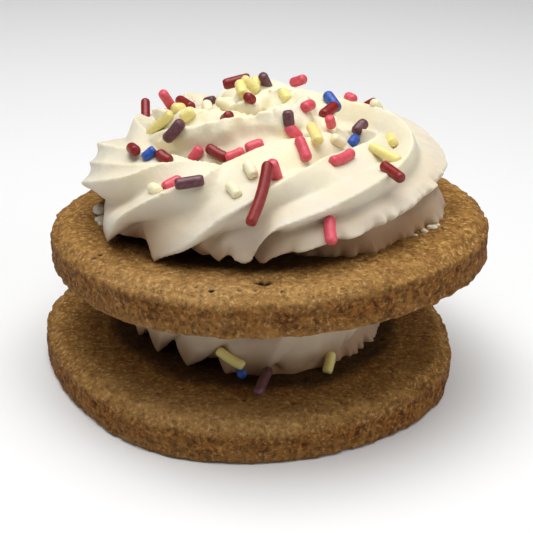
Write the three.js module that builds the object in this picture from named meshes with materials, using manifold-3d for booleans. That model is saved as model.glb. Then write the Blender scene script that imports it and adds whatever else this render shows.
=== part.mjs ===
// A biscuit sandwich: two golden brown biscuits, a piped cream filling between them and a
// piped cream swirl with sugar sprinkles on top. Millimetres, +Z up, angles in degrees.
// The origin is the middle of the lower biscuit's underside.
import * as THREE from "three";
import { mergeVertices } from "three/addons/utils/BufferGeometryUtils.js";
import Module from "manifold-3d";

const wasm = await Module();
wasm.setup();

// ---- Driving dimensions ----
const BISCUIT_THICKNESS = 7.8;
const BISCUIT_TOP_EDGE = 1.8; // radius of the rounded upper edge
const BISCUIT_FOOT_EDGE = 1.0; // radius of the rounded lower edge
const BISCUIT_SIDES = 64;
const CONTACT_GAP = 0.3; // between cream and biscuit

// wobble rows: how many waves round the outline, cosine part, sine part
const LOWER_BISCUIT = {
  radius: 38.0,
  wobble: [
    [2, 0.011, 0.016],
    [3, -0.0205, 0.0124],
    [4, -0.002, -0.024],
  ],
};
const UPPER_BISCUIT = {
  radius: 38.3,
  wobble: [
    [2, 0.0044, 0.0055],
    [3, -0.0047, -0.0117],
    [4, 0.0099, -0.01],
  ],
};
// The upper biscuit sits a little off centre and leans to the left.
const UPPER_PLACE = new THREE.Vector3(2.87, -2.41, 23.74);
const UPPER_TILT_X = -1.43;
const UPPER_TILT_Y = -3.76;

// A piped rope has a star section: sharp ridges that wind round it as it is laid.
const RIDGES = 6;
const RIDGE_DEPTH = 0.34; // share of the rope's size that a groove is cut in
const RIDGE_SHARPNESS = 1.5;
const UNDERCUT = 0.08; // the grooves are this much deeper under the rope
const FOOT_SQUARENESS = 0.62; // 1 is a round underside, less is a squarer, spread foot
const FOOT_SQUASH = 18; // degrees that the lowest ridges are pushed up
const AXIS_CLEARANCE = 1.5; // the rope bends away from the axis inside this radius
const SECTION_POINTS = 24;
const PIECE_ANGLE = 72; // the rope is joined from lengths of this much
const END_ANGLE = 8; // the rope's ends round off over this much

// Stops are [angle along the rope, value]; the values between follow a smooth curve.
const SWIRL = {
  centre: new THREE.Vector2(-0.6, 0),
  start: 70,
  end: 880,
  step: 10,
  twist: [
    [70, -250],
    [190, -57],
    [217, -19],
    [262, 90],
    [290, 146],
    [341, 184],
    [440, 238],
    [544, 372],
    [622, 457],
    [720, 540],
    [880, 660],
  ],
  reach: [
    [70, 22.6],
    [380, 22.6],
    [450, 19],
    [540, 12.8],
    [585, 9.6],
    [630, 6.8],
    [750, 4.8],
    [880, 2.5],
  ],
  height: [
    [70, 6.8],
    [380, 6.8],
    [440, 8.5],
    [510, 12],
    [630, 12.9],
    [880, 13.8],
  ],
  halfWidth: [
    [70, 9.8],
    [380, 9.8],
    [540, 9.2],
    [630, 7.2],
    [880, 4.5],
  ],
  halfHeight: [
    [70, 8],
    [540, 8],
    [630, 7.2],
    [880, 5],
  ],
};
const SWIRL_CORE_RADIUS = 16;
const SWIRL_CORE_HEIGHT = 14.2;

const FILLING = {
  centre: new THREE.Vector2(0, 0),
  start: 20,
  end: 392,
  step: 12,
  twist: [
    [20, -366],
    [202, -57],
    [268, 123],
    [298, 183],
    [355, 235],
    [392, 262],
  ],
  reach: [
    [20, 14.6],
    [392, 14.6],
  ],
  height: [
    [20, 7.4],
    [392, 7.4],
  ],
  halfWidth: [
    [20, 9.4],
    [392, 9.4],
  ],
  halfHeight: [
    [20, 9.2],
    [392, 9.2],
  ],
};
const FILLING_CORE_RADIUS = 14;
const FILLING_CORE_HEIGHT = 19;

// Sugar sprinkles: straight rods with round ends, half sunk in the cream.
const SPRINKLE_RADIUS = 0.95;
const SPRINKLE_SIDES = 5;
const SPRINKLE_LIFT = 0.5; // height of a rod's middle over the cream, in radii
// Each row places one rod: azimuth and elevation of its middle seen from the middle of the
// cream's foot, heading (0 is counter-clockwise, 90 is up the slope), length, lean outwards.
const SWIRL_SPRINKLES = [
  [268, 24, 80, 11.5, 0],
  [165, 33, 90, 5.5, 55],
  [162, 50, 50, 5, 20],
  [118, 66, 155, 5, 0],
  [241, 43, 165, 4.8, 0],
  [238, 60, 25, 3.5, 20],
  [40, 46, 165, 4, 0],
  [15, 32, 5, 4.2, 10],
  [33, 36, 120, 3.5, 50],
  [315, 24, 105, 5, 0],
  [204, 30, 5, 4, 25],
  [217, 33, 160, 2.6, 0],
  [115, 78, 0, 2.6, 0],
  [152, 44, 95, 5, 60],
  [52, 66, 35, 3.6, 10],
  [226, 40, 85, 3.8, 10],
  [249, 45, 33, 4.6, 0],
  [262, 51, 29, 4.2, 0],
  [236, 25, 43, 4.4, 0],
  [275, 34, 90, 4, 60],
  [301, 59, 105, 4.2, 0],
  [304, 50, 120, 5.2, 0],
  [353, 67, 0, 3, 0],
  [5, 50, 60, 4, 50],
  [307, 34, 10, 4.8, 0],
  [40, 40, 30, 3, 0],
  [290, 12, 90, 5.6, 0],
  [135, 50, 10, 3, 0],
  [80, 74, 100, 4.2, 50],
  [209, 44, 104, 4.9, 0],
  [241, 26, 13, 5.6, 0],
  [299, 66, 160, 3.4, 30],
  [8, 40, 165, 3.6, 0],
  [213, 32, 160, 3, 10],
  [33, 50, 155, 3.6, 0],
  [354, 39, 90, 3, 50],
  [171, 38, 80, 5.6, 0],
  [118, 72, 90, 3.4, 20],
  [98, 74, 95, 3.4, 20],
  [333, 56, 85, 5.6, 0],
  [342, 33, 160, 5.6, 0],
  [352, 31, 170, 2.8, 0],
  [45, 74, 110, 3, 0],
  [259, 25, 135, 3.2, 0],
  [264, 33, 120, 3.4, 0],
  [231, 22, 165, 3.2, 0],
];
const FILLING_SPRINKLES = [
  [261, 9, 145, 5.6, 0],
  [267, 3, 100, 3.2, 70],
  [274, 4, 95, 9, 80],
  [306, 5, 60, 4.4, 10],
];
// The far side carries the same kind of sprinkles, spread by chance.
const BACK_SPRINKLES = {
  count: 14,
  seed: 11,
  azimuth: [30, 150],
  elevation: [10, 58],
  length: [3, 6.5],
};

// ---- Small helpers ----
const radians = THREE.MathUtils.degToRad;
const clamp01 = (x) => THREE.MathUtils.clamp(x, 0, 1);
const signedPower = (x, power) => Math.sign(x) * Math.abs(x) ** power;

// Value at x of a smooth curve through the stops that never overshoots them.
function curveThrough(stops, x) {
  const last = stops.length - 1;
  const rise = (i) => (stops[i + 1][1] - stops[i][1]) / (stops[i + 1][0] - stops[i][0]);
  const slope = (i) => {
    if (i === 0) return rise(0);
    if (i === last) return rise(last - 1);
    const before = rise(i - 1);
    const after = rise(i);
    return before * after > 0 ? (2 * before * after) / (before + after) : 0;
  };
  let i = 0;
  while (i < last - 1 && x > stops[i + 1][0]) i += 1;
  const span = stops[i + 1][0] - stops[i][0];
  const t = clamp01((x - stops[i][0]) / span);
  const fromStart = stops[i][1] * (1 + 2 * t) * (1 - t) ** 2 + slope(i) * span * t * (1 - t) ** 2;
  const fromEnd = stops[i + 1][1] * t * t * (3 - 2 * t) + slope(i + 1) * span * t * t * (t - 1);
  return fromStart + fromEnd;
}

// The same seed always gives the same draws, each between 0 and 1.
function seededDraw(seed) {
  const modulus = 2147483647;
  let state = seed;
  return () => {
    state = (state * 16807) % modulus;
    return state / modulus;
  };
}

// ---- Solids ----
function toSolid(geometry) {
  const bare = geometry.clone();
  bare.deleteAttribute("normal");
  bare.deleteAttribute("uv");
  const merged = mergeVertices(bare);
  const corners = [];
  for (let i = 0; i < merged.index.count; i += 3) {
    const [a, b, c] = [0, 1, 2].map((k) => merged.index.getX(i + k));
    if (a !== b && b !== c && c !== a) corners.push(a, b, c);
  }
  const mesh = new wasm.Mesh({
    numProp: 3,
    vertProperties: new Float32Array(merged.attributes.position.array),
    triVerts: new Uint32Array(corners),
  });
  return new wasm.Manifold(mesh);
}

function toGeometry(solid) {
  const mesh = solid.getMesh();
  const geometry = new THREE.BufferGeometry();
  geometry.setAttribute("position", new THREE.BufferAttribute(mesh.vertProperties, 3));
  geometry.setIndex(new THREE.BufferAttribute(mesh.triVerts, 1));
  return geometry;
}

function joined(solids) {
  return solids.reduce((whole, solid) => whole.add(solid));
}

// The largest body alone: a hollow sealed inside it is filled and a loose scrap is dropped.
function mainBody(solid) {
  const bodies = solid.decompose();
  return bodies.reduce((best, body) => (body.volume() > best.volume() ? body : best));
}

// A closed skin over a row of rings that all have the same number of points.
function skinOver(rings) {
  const count = rings[0].length;
  const positions = rings.flat().flatMap((point) => point.toArray());
  const faces = [];
  for (let i = 0; i < rings.length - 1; i += 1) {
    for (let j = 0; j < count; j += 1) {
      const k = (j + 1) % count;
      const [a, b, c, d] = [i * count + j, i * count + k, (i + 1) * count + k, (i + 1) * count + j];
      faces.push(a, c, b, a, d, c);
    }
  }
  for (const [ring, first, turned] of [
    [rings[0], 0, false],
    [rings.at(-1), (rings.length - 1) * count, true],
  ]) {
    const middle = ring.reduce((sum, point) => sum.add(point), new THREE.Vector3());
    positions.push(...middle.divideScalar(count).toArray());
    const hub = positions.length / 3 - 1;
    for (let j = 0; j < count; j += 1) {
      const [a, b] = [first + j, first + ((j + 1) % count)];
      faces.push(...(turned ? [hub, b, a] : [hub, a, b]));
    }
  }
  const geometry = new THREE.BufferGeometry();
  geometry.setAttribute("position", new THREE.Float32BufferAttribute(positions, 3));
  geometry.setIndex(faces);
  return geometry;
}

// A round solid from its profile of [radius, height] points, bottom to top.
function turned(profile, sides) {
  const points = profile.map(([radius, height]) => new THREE.Vector2(radius, height));
  return new THREE.LatheGeometry(points, sides).rotateX(Math.PI / 2);
}

// ---- Biscuits ----
function wobbleAt(rows, angle) {
  return rows.reduce((sum, [waves, c, s]) => {
    return sum + c * Math.cos(waves * angle) + s * Math.sin(waves * angle);
  }, 1);
}

function biscuitProfile(radius) {
  const arc = (steps, edge, from, height) => {
    return Array.from({ length: steps + 1 }, (_, i) => {
      const angle = radians(from + (90 * i) / steps);
      return [radius - edge + edge * Math.cos(angle), height + edge * Math.sin(angle)];
    });
  };
  const foot = arc(2, BISCUIT_FOOT_EDGE, -90, BISCUIT_FOOT_EDGE);
  const rim = arc(4, BISCUIT_TOP_EDGE, 0, BISCUIT_THICKNESS - BISCUIT_TOP_EDGE);
  return [[0, 0], ...foot, ...rim, [0, BISCUIT_THICKNESS]];
}

function biscuit({ radius, wobble }) {
  const geometry = turned(biscuitProfile(radius), BISCUIT_SIDES);
  const place = geometry.attributes.position;
  for (let i = 0; i < place.count; i += 1) {
    const stretch = wobbleAt(wobble, Math.atan2(place.getY(i), place.getX(i)));
    place.setXY(i, place.getX(i) * stretch, place.getY(i) * stretch);
  }
  return toSolid(geometry);
}

// ---- Piped cream ----
// Point on the rope at an angle along it; ridgeAngle 0, 60, 120... runs along the ridges.
function ropePoint(rope, along, ridgeAngle, scale) {
  const turnedBy = ridgeAngle + curveThrough(rope.twist, along);
  const under = Math.max(0, -Math.sin(radians(turnedBy)));
  const angle = radians(turnedBy + FOOT_SQUASH * under);
  const fromRidge = Math.abs(((((RIDGES * ridgeAngle) / 360 + 0.5) % 1) + 1) % 1 - 0.5) * 2;
  const groove = 1 - (1 - fromRidge) ** RIDGE_SHARPNESS;
  const size = (1 - (RIDGE_DEPTH + UNDERCUT * under) * groove) * scale;
  const down = clamp01(-2 * Math.sin(angle));
  const power = 1 - (1 - FOOT_SQUARENESS) * down * down * (3 - 2 * down);
  const across = curveThrough(rope.halfWidth, along) * size * signedPower(Math.cos(angle), power);
  const up = curveThrough(rope.halfHeight, along) * size * signedPower(Math.sin(angle), power);
  let radius = curveThrough(rope.reach, along) + across;
  if (radius < AXIS_CLEARANCE) {
    radius = AXIS_CLEARANCE * Math.exp((radius - AXIS_CLEARANCE) / AXIS_CLEARANCE);
  }
  return new THREE.Vector3(
    rope.centre.x + radius * Math.cos(radians(along)),
    rope.centre.y + radius * Math.sin(radians(along)),
    curveThrough(rope.height, along) + up,
  );
}

function ropeRing(rope, along) {
  const fromEnd = Math.min(along - rope.start, rope.end - along) / END_ANGLE;
  const scale = Math.sqrt(Math.max(0.02, 1 - (1 - clamp01(fromEnd)) ** 2));
  return Array.from({ length: SECTION_POINTS }, (_, i) => {
    return ropePoint(rope, along, (360 * i) / SECTION_POINTS, scale);
  });
}

// The rope in short lengths that share their end rings, so that none of them meets itself.
function ropeSolids(rope) {
  const ends = [0.25, 0.6].map((share) => share * END_ANGLE);
  const body = [];
  for (let along = rope.start + END_ANGLE; along < rope.end - END_ANGLE; along += rope.step) {
    body.push(along);
  }
  const stops = [
    rope.start,
    ...ends.map((angle) => rope.start + angle),
    ...body,
    rope.end - END_ANGLE,
    ...ends.map((angle) => rope.end - angle).reverse(),
    rope.end,
  ];
  const solids = [];
  let first = 0;
  for (let i = 1; i < stops.length; i += 1) {
    if (stops[i] - stops[first] >= PIECE_ANGLE || i === stops.length - 1) {
      const rings = stops.slice(first, i + 1).map((along) => ropeRing(rope, along));
      solids.push(toSolid(skinOver(rings)));
      first = i;
    }
  }
  return solids;
}

// A low dome that fills the middle of the swirl.
function swirlCore() {
  const steps = 5;
  const profile = Array.from({ length: steps + 1 }, (_, i) => {
    const angle = radians((90 * i) / steps);
    return [SWIRL_CORE_RADIUS * Math.cos(angle), SWIRL_CORE_HEIGHT * Math.sin(angle)];
  });
  profile[steps][0] = 0;
  return toSolid(turned([[0, 0], ...profile], 24));
}

function fillingCore() {
  const profile = [
    [0, 0],
    [FILLING_CORE_RADIUS, 0],
    [FILLING_CORE_RADIUS, FILLING_CORE_HEIGHT],
    [0, FILLING_CORE_HEIGHT],
  ];
  return toSolid(turned(profile, 24));
}

// ---- Sprinkles ----
function directionTo(azimuth, elevation) {
  const polar = radians(90 - elevation);
  return new THREE.Vector3(
    Math.sin(polar) * Math.cos(radians(azimuth)),
    Math.sin(polar) * Math.sin(radians(azimuth)),
    Math.cos(polar),
  );
}

// The outermost point of the cream in a direction from the middle of its foot.
function outermost(cream, direction) {
  const far = 100;
  const start = direction.clone().multiplyScalar(far);
  const caster = new THREE.Raycaster(start, direction.clone().negate());
  return caster.intersectObject(cream)[0].point;
}

function sprinkle(cream, [azimuth, elevation, heading, length, lean]) {
  const out = directionTo(azimuth, elevation);
  const east = new THREE.Vector3(-Math.sin(radians(azimuth)), Math.cos(radians(azimuth)), 0);
  const north = out.clone().cross(east);
  const across = east.multiplyScalar(Math.cos(radians(heading)));
  across.add(north.multiplyScalar(Math.sin(radians(heading))));
  const middle = outermost(cream, out);
  const halfRod = length / 2 - SPRINKLE_RADIUS;
  const tips = [-1, 1].map((side) => {
    const aim = middle.clone().addScaledVector(across, side * halfRod).normalize();
    return outermost(cream, aim);
  });
  const along = tips[1].clone().sub(tips[0]).normalize();
  along.multiplyScalar(Math.cos(radians(lean))).addScaledVector(out, Math.sin(radians(lean)));
  along.normalize();
  const foot = tips[0].add(tips[1]).multiplyScalar(0.5).lerp(middle, 0.5);
  foot.addScaledVector(out, SPRINKLE_RADIUS * SPRINKLE_LIFT);
  foot.addScaledVector(out, halfRod * Math.sin(radians(lean)));
  const rod = new THREE.CapsuleGeometry(SPRINKLE_RADIUS, 2 * halfRod, 1, SPRINKLE_SIDES);
  const turn = new THREE.Quaternion().setFromUnitVectors(new THREE.Vector3(0, 1, 0), along);
  rod.applyQuaternion(turn).translate(foot.x, foot.y, foot.z);
  return toSolid(rod);
}

function backSprinkles({ count, seed, azimuth, elevation, length }) {
  const draw = seededDraw(seed);
  const between = ([low, high]) => low + (high - low) * draw();
  return Array.from({ length: count }, () => {
    return [between(azimuth), between(elevation), 180 * draw(), between(length), 0];
  });
}

function withSprinkles(cream, rows) {
  const target = new THREE.Mesh(toGeometry(cream), new THREE.MeshStandardMaterial());
  return joined([cream, ...rows.map((row) => sprinkle(target, row))]);
}

// ---- Whole cream pieces ----
// A block over the face z = 0, used to trim the cream flat where it meets a biscuit.
function slab(bottom, height) {
  const side = 120;
  return toSolid(new THREE.BoxGeometry(side, side, height).translate(0, 0, bottom + height / 2));
}

// In the frame of the upper biscuit's top face.
function swirl() {
  const cream = joined([swirlCore(), ...ropeSolids(SWIRL)]);
  const rows = [...SWIRL_SPRINKLES, ...backSprinkles(BACK_SPRINKLES)];
  return mainBody(withSprinkles(cream, rows).intersect(slab(CONTACT_GAP, 60)));
}

// In the frame of the lower biscuit's top face, cut by the underside of the upper biscuit.
function filling() {
  const cream = joined([fillingCore(), ...ropeSolids(FILLING)]);
  const roof = toGeometry(slab(-CONTACT_GAP, 60)).applyMatrix4(upperMatrix());
  roof.translate(0, 0, -BISCUIT_THICKNESS);
  const whole = withSprinkles(cream, FILLING_SPRINKLES).intersect(slab(CONTACT_GAP, 60));
  return mainBody(whole.subtract(toSolid(roof)));
}

function upperMatrix() {
  const tilt = new THREE.Euler(radians(UPPER_TILT_X), radians(UPPER_TILT_Y), 0, "XYZ");
  const turn = new THREE.Quaternion().setFromEuler(tilt);
  return new THREE.Matrix4().compose(UPPER_PLACE, turn, new THREE.Vector3(1, 1, 1));
}

// ---- The sandwich ----
const biscuitMaterial = () => {
  return new THREE.MeshStandardMaterial({ color: 0x8a612f, roughness: 0.9, metalness: 0 });
};
const creamMaterial = () => {
  return new THREE.MeshStandardMaterial({ color: 0xf1ead6, roughness: 0.55, metalness: 0 });
};

function named(name, solid, material) {
  const mesh = new THREE.Mesh(toGeometry(solid), material);
  mesh.name = name;
  return mesh;
}

const lowerBiscuit = named("cookie_bottom", biscuit(LOWER_BISCUIT), biscuitMaterial());
const creamFilling = named("cream_filling", filling(), creamMaterial());
creamFilling.position.z = BISCUIT_THICKNESS;

const upperBiscuit = named("cookie_top", biscuit(UPPER_BISCUIT), biscuitMaterial());
const creamSwirl = named("cream_top", swirl(), creamMaterial());
creamSwirl.position.z = BISCUIT_THICKNESS;

const upperHalf = new THREE.Group();
upperHalf.applyMatrix4(upperMatrix());
upperHalf.add(upperBiscuit, creamSwirl);

const sandwich = new THREE.Group();
sandwich.add(lowerBiscuit, creamFilling, upperHalf);

export default sandwich;
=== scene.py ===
"""A biscuit sandwich with piped cream and sugar sprinkles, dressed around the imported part.

Shapes are worked out in millimetres, a biscuit in its own frame and the cream in that of the
face that carries it, and are written into each mesh in metres in the part's frame. Angles are
in degrees.
"""
import itertools
import math

import bpy
import numpy as np
from mathutils import Matrix, Vector
from mathutils.bvhtree import BVHTree


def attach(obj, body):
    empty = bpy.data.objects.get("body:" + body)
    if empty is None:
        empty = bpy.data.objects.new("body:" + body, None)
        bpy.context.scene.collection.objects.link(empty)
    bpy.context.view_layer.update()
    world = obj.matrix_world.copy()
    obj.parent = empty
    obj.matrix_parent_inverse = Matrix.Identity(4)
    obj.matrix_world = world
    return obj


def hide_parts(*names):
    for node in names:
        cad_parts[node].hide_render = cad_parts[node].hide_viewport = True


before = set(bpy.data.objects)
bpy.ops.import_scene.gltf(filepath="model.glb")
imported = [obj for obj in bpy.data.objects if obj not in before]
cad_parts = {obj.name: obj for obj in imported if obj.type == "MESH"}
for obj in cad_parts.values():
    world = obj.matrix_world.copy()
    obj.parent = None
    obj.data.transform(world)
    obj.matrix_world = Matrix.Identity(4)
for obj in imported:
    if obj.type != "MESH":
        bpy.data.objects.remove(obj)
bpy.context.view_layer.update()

MM = 0.001
BODY = "root"

# ---- Where the biscuits are ----
BISCUIT_THICKNESS = 7.8
UPPER_PLACE = (2.87, -2.41, 23.74)
UPPER_TILT_X = -1.43
UPPER_TILT_Y = -3.76

LOWER = Matrix.Identity(4)
UPPER = (
    Matrix.Translation(UPPER_PLACE)
    @ Matrix.Rotation(math.radians(UPPER_TILT_X), 4, "X")
    @ Matrix.Rotation(math.radians(UPPER_TILT_Y), 4, "Y")
)
ON_BISCUIT = Matrix.Translation((0, 0, BISCUIT_THICKNESS))


# ---- Angles, curves and noise ----
def cos(degrees):
    return math.cos(math.radians(degrees))


def sin(degrees):
    return math.sin(math.radians(degrees))


def from_axis(points):
    """How far points are from the upright axis of their frame."""
    return np.hypot(*points[:, :2].T)


def curve_through(stops, x):
    """Value at x of a smooth curve through the stops that never overshoots them."""
    at, value = np.array(stops, float).T
    rise = np.diff(value) / np.diff(at)
    slope = np.concatenate([rise[:1], np.zeros(len(rise) - 1), rise[-1:]])
    before, after = rise[:-1], rise[1:]
    agree = before * after > 0
    slope[1:-1] = np.where(agree, 2 * before * after / np.where(agree, before + after, 1), 0)
    i = np.clip(np.searchsorted(at, x) - 1, 0, len(rise) - 1)
    span = at[i + 1] - at[i]
    t = np.clip((x - at[i]) / span, 0, 1)
    from_start = value[i] * (1 + 2 * t) * (1 - t) ** 2 + slope[i] * span * t * (1 - t) ** 2
    from_end = value[i + 1] * t * t * (3 - 2 * t) + slope[i + 1] * span * t * t * (t - 1)
    return from_start + from_end


def smooth(x):
    """0 below 0, 1 above 1 and a smooth step between."""
    x = np.clip(x, 0, 1)
    return x * x * (3 - 2 * x)


def turn_from(middle, angle):
    """Degrees from one direction to another, between -180 and 180."""
    return (angle - middle + 180) % 360 - 180


def seeded_draw(seed):
    """The same seed always gives the same draws, each between 0 and 1."""
    multiplier, modulus = 16807, 2147483647
    state = seed
    while True:
        state = state * multiplier % modulus
        yield state / modulus


def drawn_rows(draw, count, ranges):
    """Rows of random values, one between the ends of each range."""
    return [[low + (high - low) * next(draw) for low, high in ranges] for _ in range(count)]


# Large odd numbers that scramble a cell's place and a seed into a value by chance.
CELL_STEPS = (73856093, 19349663, 83492791)
SEED_STEP = 40503
SCRAMBLER = 1274126177


def bumps(points, size, seed=0):
    """Smooth noise between -1 and 1 whose bumps are about `size` across."""
    cells = np.asarray(points, float) / size
    low = np.floor(cells)
    share = smooth(cells - low)
    low = low.astype(np.int64)
    total = np.zeros(len(cells))
    for corner in itertools.product((0, 1), repeat=3):
        key = (low + corner) @ np.array(CELL_STEPS) + seed * SEED_STEP
        key = ((key ^ (key >> 13)) * SCRAMBLER) & 0xFFFFFFFF
        key = (key ^ (key >> 15)) & 0xFFFF
        weight = np.prod(np.where(corner, share, 1 - share), axis=1)
        total += weight * (key / (0xFFFF / 2) - 1)
    return total


def uneven(points, rows, seed):
    """Bumps of several sizes on top of each other, from rows of their size and height."""
    return sum(height * bumps(points, size, seed + i) for i, (size, height) in enumerate(rows))


def patchy(points, mean, swing, size, seed):
    """A share that varies about its mean in patches."""
    return mean + swing * bumps(points, size, seed)


# ---- Meshes ----
def make_piece(name, points, faces, place, material, replaces, layers=None):
    """A smooth piece of the part from points in millimetres in the frame `place`."""
    mesh = bpy.data.meshes.new(name)
    mesh.from_pydata(np.asarray(points).tolist(), [], [list(face) for face in faces])
    mesh.transform(Matrix.Scale(MM, 4) @ place)
    mesh.polygons.foreach_set("use_smooth", [True] * len(mesh.polygons))
    for layer, values in (layers or {}).items():
        mesh.attributes.new(layer, "FLOAT", "POINT").data.foreach_set("value", values)
    mesh.materials.append(material)
    mesh.update()
    piece = bpy.data.objects.new(name, mesh)
    bpy.context.scene.collection.objects.link(piece)
    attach(piece, BODY)
    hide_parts(*replaces)


def grid_faces(rows, columns):
    """Quads between rows of points that each close into a ring."""
    i, j = np.meshgrid(np.arange(rows - 1), np.arange(columns), indexing="ij")
    k = (j + 1) % columns
    quads = np.stack([i * columns + j, i * columns + k, (i + 1) * columns + k, (i + 1) * columns + j], -1)
    return quads.reshape(-1, 4).tolist()


def full_turn(columns):
    return np.linspace(0, 2 * math.pi, columns, endpoint=False)


def around(radius, turn, height):
    """Points at a distance from the axis, turned about it by radians, at a height."""
    return np.stack(np.broadcast_arrays(radius * np.cos(turn), radius * np.sin(turn), height), -1)


def closed_skin(rings):
    """Points and faces of a closed skin over rings of points, with a cap at each end."""
    rows, columns = rings.shape[:2]
    faces = grid_faces(rows, columns)
    faces.append(list(range(columns))[::-1])
    faces.append(list(range((rows - 1) * columns, rows * columns)))
    return rings.reshape(-1, 3), faces


def joined(skins):
    """One list of points and one of faces from several skins."""
    points, faces = [], []
    for skin_points, skin_faces in skins:
        first = sum(len(part) for part in points)
        points.append(skin_points)
        faces += [[first + corner for corner in face] for face in skin_faces]
    return np.concatenate(points), faces


def moved(skin, place):
    """A skin carried from the frame `place` into the part's own."""
    points, faces = skin
    turn = np.array(place.to_3x3())
    return points @ turn.T + np.array(place.translation), faces


def fused(skins, voxel):
    """The outer surface of overlapping skins, as one even mesh that is slightly softened."""
    points, faces = joined(skins)
    mesh = bpy.data.meshes.new("fusing")
    mesh.from_pydata(points.tolist(), [], faces)
    scrap = bpy.data.objects.new("fusing", mesh)
    bpy.context.scene.collection.objects.link(scrap)
    remesh = scrap.modifiers.new("fuse", "REMESH")
    remesh.mode = "VOXEL"
    remesh.voxel_size = voxel
    soften = scrap.modifiers.new("soften", "SMOOTH")
    soften.factor = 0.5
    soften.iterations = 2
    whole = scrap.evaluated_get(bpy.context.evaluated_depsgraph_get()).to_mesh()
    points = np.empty(len(whole.vertices) * 3)
    whole.vertices.foreach_get("co", points)
    faces = [list(face.vertices) for face in whole.polygons]
    normals = np.empty(len(whole.vertices) * 3)
    whole.vertices.foreach_get("normal", normals)
    bpy.data.objects.remove(scrap)
    bpy.data.meshes.remove(mesh)
    return points.reshape(-1, 3), faces, normals.reshape(-1, 3)


# ---- Shader nodes ----
def linear(red, green, blue):
    """A colour as it looks on a screen, 0 to 255, as Blender's linear colour."""
    parts = [part / 255 for part in (red, green, blue)]
    return (*[p / 12.92 if p <= 0.04045 else ((p + 0.055) / 1.055) ** 2.4 for p in parts], 1)


def set_sockets(tree, node, sockets):
    """Each socket is given a value, or another node's output to link to."""
    for name, value in sockets.items():
        if isinstance(value, bpy.types.NodeSocket):
            tree.links.new(value, node.inputs[name])
        else:
            node.inputs[name].default_value = value


def add_node(tree, kind, sockets, **settings):
    """A shader node with its settings made and its sockets fed."""
    node = tree.nodes.new("ShaderNode" + kind)
    for name, value in settings.items():
        setattr(node, name, value)
    set_sockets(tree, node, sockets)
    return node


def add_noise(tree, size, detail=4.0, roughness=0.55):
    """Noise between 0 and 1 with features about `size` millimetres across."""
    place = add_node(tree, "TexCoord", {}).outputs["Object"]
    sockets = {"Vector": place, "Scale": 1 / (size * MM), "Detail": detail, "Roughness": roughness}
    return add_node(tree, "TexNoise", sockets).outputs["Fac"]


def add_range(tree, value, low, high, start=0.0, end=1.0):
    """A value that goes from start to end as the one given goes from low to high."""
    sockets = {"Value": value, "From Min": low, "From Max": high, "To Min": start, "To Max": end}
    return add_node(tree, "MapRange", sockets).outputs["Result"]


def add_maths(tree, operation, a, b):
    return add_node(tree, "Math", {0: a, 1: b}, operation=operation).outputs[0]


MIX_SHARE, MIX_A, MIX_B, MIX_RESULT = 0, 6, 7, 2  # places of a Mix node's sockets for colours


def add_mix(tree, share, a, b):
    """Colour a turning into colour b as share goes from 0 to 1."""
    node = add_node(tree, "Mix", {MIX_SHARE: share, MIX_A: a, MIX_B: b}, data_type="RGBA")
    return node.outputs[MIX_RESULT]


def add_tints(tree, colour, tints):
    """A colour with others laid over it, from rows of where, how strongly and which."""
    for share, strength, tint in tints:
        colour = add_mix(tree, add_maths(tree, "MULTIPLY", share, strength), colour, tint)
    return colour


def add_bump(tree, height, strength, depth):
    """A surface direction roughened by a height, where 1 stands for `depth` millimetres."""
    sockets = {"Height": height, "Strength": strength, "Distance": depth * MM}
    return add_node(tree, "Bump", sockets).outputs["Normal"]


def add_layer(tree, name):
    """A value that the mesh carries at each of its points."""
    return add_node(tree, "Attribute", {}, attribute_name=name).outputs["Fac"]


def new_material(name):
    """A material with its node tree and its Principled shader."""
    material = bpy.data.materials.new(name)
    material.use_nodes = True
    tree = material.node_tree
    return material, tree, tree.nodes["Principled BSDF"]


# ---- Materials ----
CRUST_GOLD = linear(182, 136, 70)
# tan of the flecks, also laid on as the painted highlight on the front of the rim
CRUST_TAN = linear(220, 180, 120)
CRUST_BROWN = linear(132, 90, 42)
CRUST_DARK = linear(92, 56, 22)
# painted shade on the face around the cream and under the filling
CRUST_PAINTED_SHADE = linear(38, 18, 6)
WALL_DARK = linear(84, 44, 12)
WALL_BROWN = linear(146, 94, 36)
WALL_TAN = linear(182, 134, 74)
# dark flecks on the wall, and the painted shade in the face's dents
DARK_FLECK_AND_DENT_SHADE = linear(26, 12, 4)


def face_colour(tree, flecks, grain):
    """Golden crust mottled with brown and tan, with a painted highlight on the front of the rim and painted
    shade around the cream.
    """
    patches = add_range(tree, add_noise(tree, size=9.0, detail=3.0), low=0.35, high=0.65)
    coarse = add_noise(tree, size=1.7, detail=5.0, roughness=0.72)
    mottle = add_range(tree, coarse, low=0.40, high=0.60)
    return add_tints(tree, add_mix(tree, mottle, CRUST_BROWN, CRUST_GOLD), [
        (patches, 0.4, CRUST_BROWN),
        # painted highlight on the front of the rim
        (add_layer(tree, "painted_highlight"), 0.35, CRUST_TAN),
        (flecks, 0.65, CRUST_TAN),
        (grain, 0.45, CRUST_DARK),
        # painted shade around the cream
        (add_layer(tree, "painted_shade"), 1.0, CRUST_PAINTED_SHADE),
    ])


def wall_colour(tree, flecks, grain):
    """The browner, coarser crumb of the side."""
    coarse = add_noise(tree, size=1.2, detail=5.0, roughness=0.74)
    mottle = add_range(tree, coarse, low=0.41, high=0.59)
    return add_tints(tree, add_mix(tree, mottle, WALL_DARK, WALL_BROWN), [
        (flecks, 0.6, WALL_TAN),
        (grain, 0.6, DARK_FLECK_AND_DENT_SHADE),
    ])


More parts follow.
